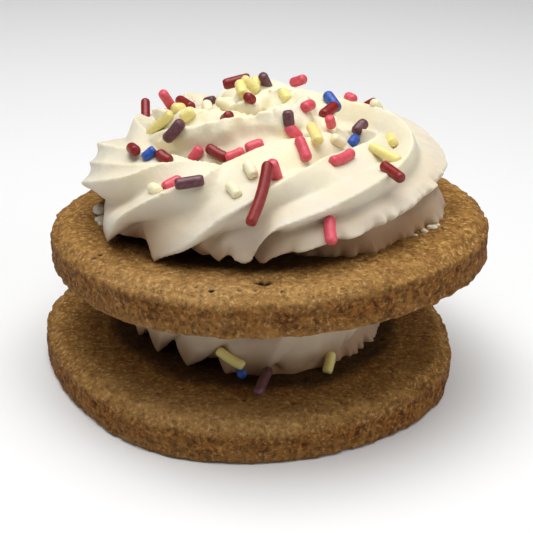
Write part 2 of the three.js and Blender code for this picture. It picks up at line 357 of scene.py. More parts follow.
def biscuit_material():
    """Crust that goes from the face's colour to the wall's, with painted shade in its dents and a grainy
    surface.
    """
    material, tree, shader = new_material("biscuit")
    fine = add_noise(tree, size=0.7, detail=3.0, roughness=0.6)
    flecks = add_range(tree, fine, low=0.55, high=0.66)
    grain = add_range(tree, fine, low=0.34, high=0.44, start=1.0, end=0.0)
    face = face_colour(tree, flecks, grain)
    wall = wall_colour(tree, flecks, grain)
    colour = add_mix(tree, add_layer(tree, "bake"), face, wall)
    # painted shade in the dents, darker where they are deeper
    dent_shade_share = add_range(tree, add_layer(tree, "dent_shade"), low=0.2, high=0.6)
    rough = add_noise(tree, size=0.7, detail=6.0, roughness=0.75)
    height = add_maths(tree, "SUBTRACT", rough, add_maths(tree, "MULTIPLY", grain, 0.25))
    set_sockets(tree, shader, {
        "Base Color": add_mix(tree, dent_shade_share, colour, DARK_FLECK_AND_DENT_SHADE),
        "Roughness": 0.75,
        "Specular IOR Level": 0.15,
        "Normal": add_bump(tree, height, strength=0.9, depth=0.5),
    })
    return material


CREAM_WHITE = linear(228, 224, 210)
CREAM_WARM = linear(227, 219, 195)
CREAM_STAINED = linear(245, 234, 192)
# brown painted shade low in the cream's grooves, and over the filling
CREAM_PAINTED_SHADE = linear(160, 114, 66)


def cream_material():
    """Whipped cream: satin, off-white, yellower by the sprinkles, with brown painted shade low in its
    grooves by a biscuit.
    """
    material, tree, shader = new_material("cream")
    drift = add_range(tree, add_noise(tree, size=8.0, detail=2.0), low=0.3, high=0.7)
    colour = add_mix(tree, drift, CREAM_WHITE, CREAM_WARM)
    colour = add_mix(tree, add_layer(tree, "stained"), colour, CREAM_STAINED)
    # brown painted shade low in the grooves
    colour = add_mix(tree, add_layer(tree, "groove_shade"), colour, CREAM_PAINTED_SHADE)
    fine = add_noise(tree, size=0.5, detail=3.0)
    coarse = add_noise(tree, size=1.6, detail=3.0)
    set_sockets(tree, shader, {
        "Base Color": colour,
        "Roughness": 0.5,
        "Specular IOR Level": 0.3,
        "Subsurface Weight": 0.25,
        "Subsurface Radius": (1.0, 0.7, 0.42),
        "Subsurface Scale": 0.8 * MM,
        "Normal": add_bump(tree, add_maths(tree, "ADD", fine, coarse), strength=0.35, depth=0.16),
    })
    return material


def sprinkle_material(name, colour, pale):
    """Pressed sugar: a waxy colour, a little uneven, paler where it is rubbed."""
    material, tree, shader = new_material(name)
    rubbed = add_range(tree, add_noise(tree, size=0.8, detail=4.0, roughness=0.6), low=0.42, high=0.72)
    set_sockets(tree, shader, {
        "Base Color": add_tints(tree, colour, [(rubbed, 0.55, pale)]),
        "Roughness": 0.38,
        "Specular IOR Level": 0.45,
        "Subsurface Weight": 0.15,
        "Subsurface Radius": (1.0, 0.6, 0.5),
        "Subsurface Scale": 0.5 * MM,
        "Normal": add_bump(tree, add_noise(tree, size=0.4, detail=3.0), strength=0.3, depth=0.1),
    })
    return material


# ---- Biscuits ----
# wobble rows: how many waves round the outline, cosine part, sine part
# highlight_towards: the azimuth where the painted highlight on the rim is brightest
# painted_shade_reach: how far out the painted shade around the cream reaches on the face
# nicks rows: azimuth, height of the middle, half width, depth (negative stands out)
# dents rows: distance from the middle of the face, azimuth, half width, depth
LOWER_BISCUIT = {
    "radius": 38.0,
    "highlight_towards": 262,
    "painted_shade_reach": 29,
    "wobble": [[2, 0.011, 0.016], [3, -0.0205, 0.0124], [4, -0.002, -0.024]],
    "noise_seed": 3,
    "draw_seed": 296,
    "nicks": [[323, 7.2, 1.6, 0.7], [297, 0.6, 1.4, 0.6], [218, 1.0, 1.2, 0.5], [340, 1.2, 1.5, 0.6]],
    "dents": [[30.3, 269, 0.6, 0.35], [31.5, 284, 0.5, 0.3], [33.0, 246, 0.5, 0.3], [32.4, 232, 0.6, 0.3]],
}
UPPER_BISCUIT = {
    "radius": 38.3,
    "highlight_towards": 258,
    "painted_shade_reach": 31,
    "wobble": [[2, 0.0044, 0.0055], [3, -0.0047, -0.0117], [4, 0.0099, -0.01]],
    "noise_seed": 8,
    "draw_seed": 781,
    "nicks": [[181, 7.2, 0.9, -0.9], [186, 6.2, 1.2, 0.5], [318, 0.8, 1.6, 0.6], [20, 0.8, 1.4, 0.5]],
    "dents": [
        [32.8, 270.3, 0.7, 1.0], [32.7, 268.6, 0.8, 1.0], [32.9, 267.2, 0.45, 0.5], [36.0, 256.7, 0.6, 0.6],
        [35.4, 252.5, 0.5, 0.4], [35.6, 263.5, 0.5, 0.35], [35.4, 267.5, 0.45, 0.4], [33.9, 216, 0.6, 0.45],
        [35.4, 216.5, 0.7, 0.4], [35.9, 213, 0.5, 0.3], [35.8, 274, 0.5, 0.4],
    ],
}
# How many more are spread by chance, and the range of each value in their rows.
SMALL_NICKS = {"count": 46, "ranges": [(0, 360), (0.2, 6.8), (0.5, 1.3), (0.2, 0.5)]}
SMALL_DENTS = {"count": 130, "ranges": [(24, 36.5), (0, 360), (0.3, 0.55), (0.1, 0.34)]}

TOP_EDGE, TOP_EDGE_RINGS = 2.8, 9  # radius of the rounded upper edge, and rings over it
FOOT_EDGE, FOOT_EDGE_RINGS = 0.9, 5  # the same for the lower edge
HIDDEN_RADIUS = 17.0  # the cream covers the face inside this radius
HIDDEN_STEP = 4.0  # distance between points under the cream
UNDERSIDE_START, UNDERSIDE_STEP = 2, 1.6  # how far inside the edge its rings start, and their step
SURFACE_STEP = 0.42  # distance between points where the crust shows

CRUST_BUMPS = [[8.0, 0.16], [2.6, 0.12], [1.2, 0.10]]  # size and height
CRAG_SIZE, CRAG_HEIGHT = 1.9, 0.28  # these three on the wall alone
CRAG_FLATNESS = 1.3  # how much wider than high the wall's crags and nicks are
LUMP_SIZE, LUMP_HEIGHT = 3.4, 0.2
GRIT_SIZE, GRIT_HEIGHT = 0.9, 0.17
WALL_SET_BACK = 0.22  # keeps the crags about the outline
FACE_FALL, FACE_FALL_WIDTH = 0.5, 7  # the face is lower by its edge
UNDERSIDE_SHARE = 0.6  # share of its hollows that the underside keeps; nothing stands out of it
NICK_STEEPNESS, DENT_STEEPNESS = 1.6, 1.3
DENT_SHADE_PER_MM = 1.6  # how dark the painted shade in a dent is for each millimetre of its depth, up to 1
BAKE_START, BAKE_WIDTH = 1.2, 1.8  # how far below the face the wall's colour starts, and comes in over
FOOT_PALER, FOOT_PALER_HEIGHT = 0.25, 4  # share of the wall's colour lost at the foot, and up to where
HIGHLIGHT_START, HIGHLIGHT_WIDTH = 11, 9  # how far inside the edge the painted highlight on the rim starts, and comes in over
HIGHLIGHT_SPREAD = 45  # degrees that the painted highlight fades over, to each side of its brightest place
PAINTED_SHADE_WIDTH, PAINTED_SHADE_SHARE = 4, 0.85  # what the painted shade around the cream fades over, and how strong it is


def biscuit_profile(radius):
    """[radius, height, outward, upward] from the middle of the face, over the rim, to the foot."""
    hidden = np.arange(0, HIDDEN_RADIUS, HIDDEN_STEP)
    shown = np.arange(HIDDEN_RADIUS, radius - TOP_EDGE, SURFACE_STEP)
    rows = [[r, BISCUIT_THICKNESS, 0, 1] for r in [*hidden, *shown]]
    for angle in np.linspace(math.pi / 2, 0, TOP_EDGE_RINGS):
        out, up = math.cos(angle), math.sin(angle)
        rows.append([radius - TOP_EDGE * (1 - out), BISCUIT_THICKNESS - TOP_EDGE * (1 - up), out, up])
    for height in np.arange(BISCUIT_THICKNESS - TOP_EDGE, FOOT_EDGE, -SURFACE_STEP)[1:]:
        rows.append([radius, height, 1, 0])
    for angle in np.linspace(0, -math.pi / 2, FOOT_EDGE_RINGS):
        out, up = math.cos(angle), math.sin(angle)
        rows.append([radius - FOOT_EDGE * (1 - out), FOOT_EDGE * (1 + up), out, up])
    rows += [[r, 0, 0, -1] for r in np.arange(radius - UNDERSIDE_START, 0, -UNDERSIDE_STEP)]
    return np.array(rows)


def biscuit_grid(spec):
    """The smooth disc: its rings of points, and for each point the way out and where it is."""
    profile = biscuit_profile(spec["radius"])
    columns = round(2 * math.pi * spec["radius"] / SURFACE_STEP)
    angle = full_turn(columns)
    stretch = 1 + sum(c * np.cos(k * angle) + s * np.sin(k * angle) for k, c, s in spec["wobble"])
    radius, height, out, up = (profile[:, i, None] for i in range(4))
    reach = radius * stretch
    single = {
        "radius": radius,
        "azimuth": np.degrees(angle),
        "wall_share": smooth(out * 1.6 - 0.3),
        "on_wall": out > 0.2,
        "on_face": up > 0.5,
        "on_top": up > 0.3,
        "underneath": up < -0.99,
    }
    grid = {name: np.broadcast_to(values, reach.shape).ravel() for name, values in single.items()}
    return around(reach, angle, height), around(out, angle, up).reshape(-1, 3), grid


def crust_relief(points, grid, spec):
    """How far the crust stands out, apart from nicks and dents: fine on the face, crumbly on the wall."""
    seed = spec["noise_seed"]
    crags = 1 - np.abs(bumps(points * (1, 1, CRAG_FLATNESS), CRAG_SIZE, seed + 4))
    crumb = CRAG_HEIGHT * crags - WALL_SET_BACK
    crumb = crumb + LUMP_HEIGHT * bumps(points, LUMP_SIZE, seed + 3)
    crumb = crumb + GRIT_HEIGHT * bumps(points, GRIT_SIZE, seed + 6)
    relief = uneven(points, CRUST_BUMPS, seed)
    relief += grid["wall_share"] * crumb
    fall = smooth((grid["radius"] - spec["radius"] + FACE_FALL_WIDTH) / FACE_FALL_WIDTH)
    relief -= FACE_FALL * fall * grid["on_face"]
    underneath = grid["underneath"]
    relief[underneath] = np.minimum(relief[underneath], 0) * UNDERSIDE_SHARE
    return relief


def nicked(relief, points, grid, spec, draw):
    """The relief with bites and crumbs in the wall."""
    for middle, level, half_width, depth in spec["nicks"] + drawn_rows(draw, **SMALL_NICKS):
        along = np.radians(turn_from(middle, grid["azimuth"])) * spec["radius"]
        gap = np.hypot(along, (points[:, 2] - level) * CRAG_FLATNESS) / half_width
        relief = relief - depth * np.exp(-gap**2 * NICK_STEEPNESS) * grid["on_wall"]
    return relief


def dented(relief, points, grid, spec, draw):
    """The relief with dents in the face, and how dark the painted shade of its dent is at each point, 0 to
    1.
    """
    dent_shade = np.zeros(len(points))
    for distance, turn, half_width, depth in spec["dents"] + drawn_rows(draw, **SMALL_DENTS):
        middle = np.array([cos(turn), sin(turn)]) * distance
        gap = np.hypot(*(points[:, :2] - middle).T) / half_width
        hole = np.exp(-gap**2 * DENT_STEEPNESS) * grid["on_top"]
        relief = relief - depth * hole
        # painted shade: the deeper the dent, the darker
        dent_shade = np.maximum(dent_shade, hole * min(1.0, depth * DENT_SHADE_PER_MM))
    return relief, dent_shade


def crust_layers(points, grid, spec, dent_shade):
    """Where the crust has the wall's colour, and where it gets painted shade in its dents, a painted
    highlight on the front of the rim and painted shade around the cream.
    """
    seed = spec["noise_seed"]
    height = points[:, 2]
    distance = from_axis(points)
    bake = smooth((BISCUIT_THICKNESS - BAKE_START - height) / BAKE_WIDTH)
    bake = bake * (1 - FOOT_PALER * smooth((FOOT_PALER_HEIGHT - height) / FOOT_PALER_HEIGHT))
    bake = bake * patchy(points, mean=0.85, swing=0.2, size=3.0, seed=seed + 9)
    # painted highlight on the rim, brightest towards the front
    from_highlight = turn_from(spec["highlight_towards"], grid["azimuth"])
    painted_highlight = smooth((distance - spec["radius"] + HIGHLIGHT_START) / HIGHLIGHT_WIDTH)
    painted_highlight = painted_highlight * np.exp(-((from_highlight / HIGHLIGHT_SPREAD) ** 2))
    painted_highlight = painted_highlight * patchy(points, mean=0.75, swing=0.3, size=5.0, seed=seed + 10)
    # painted shade on the face, strongest near the cream
    painted_shade = smooth((spec["painted_shade_reach"] - distance + bumps(points, size=6.0, seed=seed + 11)) / PAINTED_SHADE_WIDTH)
    painted_shade = painted_shade * grid["on_face"] * PAINTED_SHADE_SHARE
    return {"bake": np.clip(bake, 0, 1), "dent_shade": dent_shade, "painted_highlight": np.clip(painted_highlight, 0, 1), "painted_shade": painted_shade}


def biscuit(name, node, spec, place, material):
    """A baked disc with an uneven outline, a grainy face, pits, and a crumbly side."""
    rings, normals, grid = biscuit_grid(spec)
    points = rings.reshape(-1, 3)
    draw = seeded_draw(spec["draw_seed"])
    relief = nicked(crust_relief(points, grid, spec), points, grid, spec, draw)
    relief, dent_shade = dented(relief, points, grid, spec, draw)
    points = points + normals * relief[:, None]
    points[:, 2] = np.maximum(points[:, 2], 0)
    points, faces = closed_skin(points.reshape(rings.shape))
    faces = [face[::-1] for face in faces]
    make_piece(name, points, faces, place, material, [node], crust_layers(points, grid, spec, dent_shade))


# ---- Piped cream ----
# A piped rope has a star section: sharp ridges that wind round it as it is laid.
RIDGES = 6
FOOT_TUCK = 0.08  # share of its reach that a fin loses on its way down to the biscuit
FOOT_SQUASH = 18  # degrees that the lowest ridges are pushed up
FIN_DROP = 1.1  # how much faster than the round a fin comes down to the biscuit
PLANTED = (0.40, 0.52)  # how far down the round a fin's tip has met the biscuit, and is folded under
FOLD_UNDER = 0.36  # share of its reach that a fin loses where it is folded under
SWELL_RIDGES = (-58, 104)  # a swelling starts above one ridge, is full at the next and ends out of sight
SWELL_EDGES = (55, 40)  # degrees that it comes in over, and goes out over
SWELL_FILL = 0.75  # share of the grooves' depth that a swelling fills
CREST_HALF_WIDTH = 11  # degrees of the section to each side of a ridge that tear
MINOR_HALF_WIDTH = 24  # the same for a low ridge
TOOTH_LENGTH = 0.6
TEETH_APART = 7.0  # how far apart two rows of teeth are in the noise, so that they differ
AXIS_CLEARANCE = 1.5  # nearer to its axis than this, the rope is squeezed instead of crossing it
SECTION_POINTS = 120
ALONG_STEP = 1.0
END_ANGLE = 8  # degrees over which an end of the rope is rounded
END_TIP = 0.02  # the square of the share of its size that is left at the very end
VOXEL = 0.3
# Degrees over which each of these comes in at the ends of its stretch of the rope or foot.
FADE = {"swells": 36, "torn": 6, "filled": 7, "minor": 14, "ragged": 12}

# A ridge is named by its angle in the untwisted section. Stops are [angle along the rope, value].
# nudged: by ridge, the degrees that it leaves its place by, as stops.
# minor: low ridges between two others, [ridge, along, half length, height].
# filled: grooves that are shallower for a stretch (deeper where the share is below 0),
# [middle, along, half length, share].
# swells: where the rope stands up against the next turn, [along, half length, growth].
# torn: crests that are set back or toothed, [ridge, along, half length, set back, teeth's depth].
# Heights, growths, set backs and teeth are shares of the rope's own size there.
SWIRL = {
    "centre": (-0.6, 0),
    "start": 70,
    "end": 940,
    "ridge_depth": 0.35,
    "sharpness": 1.5,  # above 1 the grooves are wider than the ridges
    "undercut": 0.2,  # the grooves are this much deeper under the rope
    "twist": [
        [70, -250], [190, -57], [217, -19], [262, 90], [290, 146], [341, 184], [440, 238], [544, 372],
        [580, 412], [600, 427], [630, 437], [700, 440], [800, 480], [940, 570],
    ],
    "reach": [
        [70, 22.6], [380, 22.6], [450, 19], [540, 12.8], [585, 9.6], [630, 6.8], [720, 6.9], [800, 6.6],
        [870, 4.2], [940, 1.6],
    ],
    "height": [
        [70, 6.8], [380, 6.8], [440, 8.5], [510, 11.6], [560, 12.2], [630, 12.9], [720, 13.6], [800, 14.4],
        [940, 14.2],
    ],
    "half_width": [[70, 9.8], [380, 9.8], [540, 9.2], [630, 7.2], [800, 7.0], [940, 4.5]],
    "half_height": [
        [70, 8], [460, 8], [500, 7], [540, 7.1], [560, 7.5], [630, 7.2], [720, 7.2], [820, 7.0], [940, 5],
    ],
    "nudged": {
        0: [
            [199, 0], [206, -7], [213, -6], [220, 0], [234, 8], [250, 8], [255, 28], [264, 16], [275, 0],
            [287, -23], [300, -32], [318, -42], [340, 0],
        ],
        60: [[222, 0], [229, 16], [238, 24], [260, 0]],
        180: [
            [258, 0], [268, 36], [273, 40], [276, 38], [280, 33], [284, 29], [292, 23], [302, 15], [319, 13],
            [335, 7], [355, 0],
        ],
        240: [[250, 0], [255, 4], [259, 13], [263, 4], [267, -4], [270, 4], [274, 11], [280, 6], [288, 0]],
        300: [
            [222, 0], [229, 5], [236, 3], [251, -10], [260, -3], [290, 0], [302, 8], [318, 0], [343, -23],
            [390, 0], [560, 0], [585, -15], [600, -20], [640, -22], [720, 0],
        ],
    },
    "minor": [[90, 202, 42, 0.26]],
    "filled": [[345, 214, 12, 0.8], [270, 251, 7, 0.4], [210, 270, 9, -0.6]],
    "swells": [[300, 54, 0.45]],
    "torn": [
        [240, 262, 12, 0.0, 0.1], [240, 258, 6, 0.14, 0.0], [180, 273, 10, 0.1, 0.08],
        [180, 318, 32, 0.0, 0.12], [120, 190, 24, 0.0, 0.07], [90, 190, 16, 0.0, 0.04],
        [60, 192, 8, 0.0, 0.04], [0, 535, 28, 0.14, 0.0], [300, 640, 90, 0.0, 0.08],
        [0, 620, 90, 0.0, 0.1], [60, 640, 110, 0.0, 0.14], [0, 800, 120, 0.0, 0.16],
        [60, 850, 110, 0.0, 0.16],
    ],
}
SWIRL_SEED = 51
SWIRL_CORE = {"radius": 18, "height": 15.5}
SWIRL_CREST = 34  # how far out from the axis the brown painted shade in the grooves has come to nothing
# How far the settled foot reaches, as stops by azimuth, and where its edge is ragged:
# [azimuth, half length, depth].
SWIRL_FOOT = [
    [0, 31.2], [60, 29.5], [120, 28.5], [160, 26], [190, 20.5], [264, 20.5], [276, 22.3], [284, 24.2],
    [292, 26.6], [307, 28.7], [324, 29.2], [345, 31], [360, 31.2],
]
SWIRL_RAGGED = [[320, 45, 1.1], [60, 60, 0.6]]
FILLING = {
    "centre": (0, 0),
    "start": 20,
    "end": 392,
    "ridge_depth": 0.26,
    "sharpness": 0.5,
    "undercut": 0.14,
    "twist": [
        [20, -366], [187, -91], [205, -31], [223, 29], [242, 89], [268, 149], [298, 209], [340, 250],
        [392, 275],
    ],
    "reach": [[20, 14.6], [392, 14.6]],
    "height": [[20, 7.4], [392, 7.4]],
    "half_width": [[20, 9.4], [392, 9.4]],
    "half_height": [[20, 9.2], [392, 9.2]],
    "nudged": {
        180: [[254, 0], [261, 14], [276, -16], [284, 0]],
        120: [[284, 0], [290, 14], [310, -14], [320, 0]],
    },
    "minor": [],
    "filled": [
        [30, 194, 16, 0.8], [330, 213, 13, 0.7], [270, 232, 10, 0.2], [210, 248, 9, 0.5],
        [210, 275, 13, -0.7], [150, 290, 15, 0.8],
    ],
    "swells": [],
    "torn": [[120, 322, 30, 0.0, 0.09], [180, 312, 14, 0.0, 0.05]],
}
FILLING_SEED = 61
FILLING_CORE = {"radius": 14, "height": 19}
FILLING_CREST = 27  # the same for the filling
FILLING_LEAST_SHADE = 0.5  # the filling has at least this much brown painted shade all over
FILLING_FOOT = [
    [0, 24.2], [20, 23], [60, 20], [180, 17], [200, 17], [258, 17.5], [272, 21], [280, 22.4], [300, 22.6],
    [316, 22.8], [335, 23.2], [360, 24.2],
]
FILLING_RAGGED = [[335, 35, 1.1]]
# How far inside the edge of the foot, how high, and how far the teeth of its edge reach up.
FOOT_PROFILE = [
    [0.4, -0.8, 1], [0, 0.3, 1], [0.2, 0.9, 0.5], [0.5, 1.8, 0], [1.2, 3.4, 0], [2.5, 4.8, 0], [6, 6.2, 0],
]
# Unevenness of the cream, of its stirred top and of its ragged foot: size and height.
CREAM_BUMPS = [[7.0, 0.18], [2.6, 0.1], [1.1, 0.05]]
STIRRED_BUMPS = [[3.4, 0.7], [1.6, 0.3]]
RAGGED_BUMPS = [[2.4, 0.5], [1.3, 0.5]]
STIRRED_RADIUS, STIRRED_HEIGHT = 16.5, 14  # the stirred top is nearer the axis and higher than these
STIRRED_FADES = (5, 3)  # and comes in over this much inwards, and upwards
GROOVE_SHADE_HEIGHT = 8  # how high the brown painted shade reaches in the grooves
GROOVE_SHADE_FADE = 5  # what it fades over, outwards
YELLOW_START, YELLOW_RISE = 9, 7  # how high the yellow starts, and comes in over


def from_ridge(ridge_angle, ridge):
    """Degrees between the points of a section and one of its ridges."""
    return np.abs(turn_from(ridge, ridge_angle))


def near_middle(along, middle, half_length, fade):
    """1 near the middle of a stretch, 0 outside it."""
    return smooth((half_length - np.abs(along - middle)) / fade)


def turned_section(rope, along, ridge_angle):
    """The angle that each point of the section has turned to, and how far under the rope it is."""
    turned = ridge_angle + curve_through(rope["twist"], along)
    for ridge, stops in rope["nudged"].items():
        nearness = smooth(1 - from_ridge(ridge_angle, ridge) * RIDGES / 360)
        turned = turned + nearness * curve_through(stops, along)
    under = np.maximum(0, -np.sin(np.radians(turned)))
    return np.radians(turned + FOOT_SQUASH * under), under


def swelling(rope, along, ridge_angle):
    """How far the rope is squeezed up against the next turn, 0 to 1, and its growth there."""
    ridge = turn_from(0, ridge_angle)
    across = smooth((ridge - SWELL_RIDGES[0]) / SWELL_EDGES[0])
    across = across * smooth((SWELL_RIDGES[1] - ridge) / SWELL_EDGES[1])
    share = np.zeros(np.broadcast_shapes(along.shape, ridge_angle.shape))
    growth = np.ones(share.shape)
    for middle, half_length, grown in rope["swells"]:
        window = across * near_middle(along, middle, half_length, FADE["swells"])
        share = np.maximum(share, window)
        growth = growth + grown * window
    return share, growth


def torn_crests(rope, along, ridge_angle):
    """How much is torn off the sharp crests, where the cream pulled away in small teeth."""
    arc = np.cumsum(math.radians(ALONG_STEP) * curve_through(rope["reach"], along))
    torn = np.zeros(np.broadcast_shapes(along.shape, ridge_angle.shape))
    for row, (ridge, middle, half_length, set_back, depth) in enumerate(rope["torn"]):
        crest = np.clip(1 - from_ridge(ridge_angle, ridge) / CREST_HALF_WIDTH, 0, 1)
        line = np.stack([arc, np.full(along.size, row * TEETH_APART), np.zeros(along.size)], 1)
        small = bumps(line, TOOTH_LENGTH, seed=21)
        large = bumps(line, TOOTH_LENGTH * 3, seed=22)
        teeth = 0.5 + 0.6 * small + 0.4 * large
        window = crest * near_middle(along, middle, half_length, FADE["torn"])
        torn += window * (set_back + depth * np.clip(teeth, 0, 1.4)[:, None])
    return torn


def rounded_ends(rope, along):
    """The rope's size along it: full, and rounded off towards its two ends."""
    from_end = np.minimum(along - rope["start"], rope["end"] - along) / END_ANGLE
    return np.sqrt(np.maximum(END_TIP, 1 - (1 - np.clip(from_end, 0, 1)) ** 2))


def section_size(rope, along, ridge_angle, under):
    """How far each point of the section is from its middle, where 1 is a full crest."""
    groove = 1 - (1 - from_ridge(RIDGES * ridge_angle, 0) / 180) ** rope["sharpness"]
    swollen, growth = swelling(rope, along, ridge_angle)
    depth = (rope["ridge_depth"] + rope["undercut"] * under) * (1 - SWELL_FILL * swollen)
    for middle, at, half_length, share in rope["filled"]:
        near_groove = smooth(1.5 - from_ridge(ridge_angle, middle) / (180 / RIDGES))
        depth = depth * (1 - share * near_groove * near_middle(along, at, half_length, FADE["filled"]))
    size = growth * (1 - depth * groove)
    for ridge, middle, half_length, height in rope["minor"]:
        crest = np.clip(1 - from_ridge(ridge_angle, ridge) / MINOR_HALF_WIDTH, 0, 1) ** rope["sharpness"]
        size = size + height * crest * near_middle(along, middle, half_length, FADE["minor"])
    size = size * rounded_ends(rope, along)
    return size - torn_crests(rope, along, ridge_angle), groove


def rope_skin(rope):
    """A closed skin of one piped rope, ring by ring along it."""
    along = np.arange(rope["start"], rope["end"] + ALONG_STEP / 2, ALONG_STEP)[:, None]
    ridge_angle = np.linspace(0, 360, SECTION_POINTS, endpoint=False)[None, :]
    angle, under = turned_section(rope, along, ridge_angle)
    size, groove = section_size(rope, along, ridge_angle, under)
    down = -np.sin(angle)
    size = size * (1 - FOLD_UNDER * (1 - groove) * smooth((down - PLANTED[0]) / (PLANTED[1] - PLANTED[0])))
    tuck = 1 - FOOT_TUCK * smooth(down / PLANTED[0]) * (1 - groove)
    rise = np.where(down > 0, -np.minimum(1, down * (1 + FIN_DROP * (1 - groove))), -down)
    across = curve_through(rope["half_width"], along) * size * tuck * np.cos(angle)
    up = curve_through(rope["half_height"], along) * size * rise
    radius = curve_through(rope["reach"], along) + across
    near = AXIS_CLEARANCE * np.exp(np.minimum(radius - AXIS_CLEARANCE, 0) / AXIS_CLEARANCE)
    radius = np.where(radius < AXIS_CLEARANCE, near, radius)
    rings = around(radius, np.radians(along), curve_through(rope["height"], along) + up)
    return closed_skin(rings + (*rope["centre"], 0))


def dome_skin(radius, height, squareness=0.7, steps=10, columns=72):
    """A low dome that fills the middle of the swirl; at 1 it would be round, below 1 it is squarer."""
    rise = np.linspace(0, math.pi / 2, steps, endpoint=False)[:, None]
    flat = radius * np.cos(rise) ** squareness
    return closed_skin(around(flat, full_turn(columns), height * np.sin(rise) ** squareness))


def drum_skin(radius, height, columns=72):
    """The plain middle of the filling, which no one sees."""
    return closed_skin(np.stack([around(radius, full_turn(columns), z) for z in (0, height)]))


def foot_skin(stops, ragged, columns=480):
    """The part of the cream that has settled onto the biscuit, behind the fins' tips."""
    turn = np.linspace(0, 360, columns, endpoint=False)
    line = np.stack([turn, turn * 0, turn * 0], 1)
    reach = curve_through(stops, turn) + 0.35 * bumps(line, size=6.0, seed=31)
    teeth = np.zeros(columns)
    for middle, half_length, depth in ragged:
        window = near_middle(turn_from(middle, turn), 0, half_length, FADE["ragged"])
        teeth += window * depth * uneven(line, RAGGED_BUMPS, 32)
    inward, height, toothed = np.array(FOOT_PROFILE).T[:, :, None]
    return closed_skin(around(reach - inward + teeth * toothed, np.radians(turn), height))


def cream_surface(skins, seed):
    """The fused cream with soft unevenness, as points and faces; its top is stirred and lumpy."""
    points, faces, normals = fused(skins, VOXEL)
    stirred = smooth((STIRRED_RADIUS - from_axis(points)) / STIRRED_FADES[0])
    stirred = stirred * smooth((points[:, 2] - STIRRED_HEIGHT) / STIRRED_FADES[1])
    relief = uneven(points, CREAM_BUMPS, seed) + stirred * uneven(points, STIRRED_BUMPS, seed + 3)
    return points + normals * relief[:, None], faces


def cream_layers(points, crest_reach, least_groove_shade):
    """Where the cream gets brown painted shade, low in its grooves by the biscuit, and the sprinkles'
    yellow.
    """
    # painted shade: brown low in the grooves near the biscuit, and over all of the filling
    groove_shade = patchy(points, mean=0.9, swing=0.1, size=4.0, seed=90)
    groove_shade = groove_shade * smooth((crest_reach - from_axis(points)) / GROOVE_SHADE_FADE)
    groove_shade = groove_shade * np.exp(-((points[:, 2] / GROOVE_SHADE_HEIGHT) ** 2))
    stained = smooth((points[:, 2] - YELLOW_START) / YELLOW_RISE)
    stained = stained * patchy(points, mean=0.45, swing=0.35, size=4.0, seed=90)
    return {"groove_shade": np.clip(groove_shade, least_groove_shade, 1), "stained": np.clip(stained, 0, 1)}


def cream_body(name, node, surface, place, material, layers):
    """One body of cream, and what the sprinkles that lie on it need to find its surface."""
    points, faces = surface
    make_piece(name, points, faces, place, material, [node], layers)
    return BVHTree.FromPolygons(points.tolist(), faces)


# ---- Sprinkles ----
SPRINKLE_RADIUS = 0.95
SPRINKLE_LIFT = 0.5  # share of its radius that its middle line, or lower tip, clears the cream by
SPRINKLE_THINNEST, SPRINKLE_SPREAD = 0.92, 0.16  # shares of that radius
SPRINKLE_BEND = 0.05  # most that it bends, as a share of its middle line's length
SPRINKLE_SQUARENESS = 2.6  # its ends are round at 2 and squarer above
SWIRL_SPRINKLE_SEED = 71
FILLING_SPRINKLE_SEED = 81
NO_ROD_RUNS = [0.3, 0.5, 0.81]  # a direction that no rod runs in
FAR = 100.0  # further out than any cream
WELL_ABOVE = 20  # higher above a rod than any cream
# Rows: azimuth and elevation of the middle seen from the middle of the cream's foot, heading
# (0 is counter-clockwise, 90 is up the slope) and length, and where they aren't 0, how far it
# leans outwards and how far it is lifted onto others or sunk.
SWIRL_SPRINKLES = {
    "dark_red": [
        [144, 25, 153, 6, 55], [165, 51, 33, 6.8, 0, 0.5], [122, 65, 147, 5.2, -20, 1.6],
        [237, 44, 167, 4.4], [231, 62, 0, 3.2, 20], [269, 24, 74, 11], [2, 57, 155, 4.9],
        [40, 19, 14, 4.2], [48, 22, 152, 3.4], [314, 24, 68, 5.6], [208, 31, 1, 3.6, 25, 0.3],
        [220, 33, 169, 3.2], [206, 82, 114, 2.6, 0, 0.3],
    ],
    "pink": [
        [182, 50, 29, 4.4, 60, 1.0], [58, 61, 165, 3.6, 0, 0.6], [224, 40, 67, 3.2, 10],
        [249, 45, 34, 3.7], [262, 51, 26, 3.3], [235, 25, 61, 3.6], [274, 31, 113, 4.4, 60],
        [296, 56, 122, 3.2], [289, 40, 96, 4.5], [329, 66, 176, 3.1], [330, 53, 150, 3, 50, 0.8],
        [307, 34, 8, 5.7], [55, 25, 3, 2.6], [289, 12, 76, 4.8],
    ],
    "purple": [
        [138, 51, 91, 3], [89, 70, 69, 4.6, 50, -1.2], [210, 44, 60, 4.8], [246, 26, 20, 4.9],
        [293, 61, 96, 3, 30], [6, 39, 170, 3.2],
    ],
    "blue": [[214, 32, 76, 3, 10], [18, 55, 25, 4.4], [355, 38, 0, 2.8, 30]],
    "yellow": [
        [182, 41, 63, 7.4], [156, 78, 31, 4], [116, 74, 175, 3.8], [107, 73, 54, 3.6],
        [183, 51, 150, 2.7], [200, 53, 77, 2.8], [304, 49, 58, 8], [326, 30, 72, 6.9],
        [346, 31, 10, 4], [42, 76, 171, 3, 0, -0.6],
    ],
    "white": [
        [260, 25, 137, 3.8], [265, 32, 120, 3.3], [231, 22, 175, 3.5], [176, 61, 0, 2.8],
        [173, 70, 41, 5.5, 0, -0.3], [315, 42, 145, 3.2], [30, 32, 108, 3.3],
    ],
}
FILLING_SPRINKLES = {
    "yellow": [[262, 9, 156, 5.8], [306, 3, 45, 4.4, -30]],
    "blue": [[267, 3, 60, 3.3, 70]],
    "purple": [[275.5, 3, 180, 9, 73]],
}
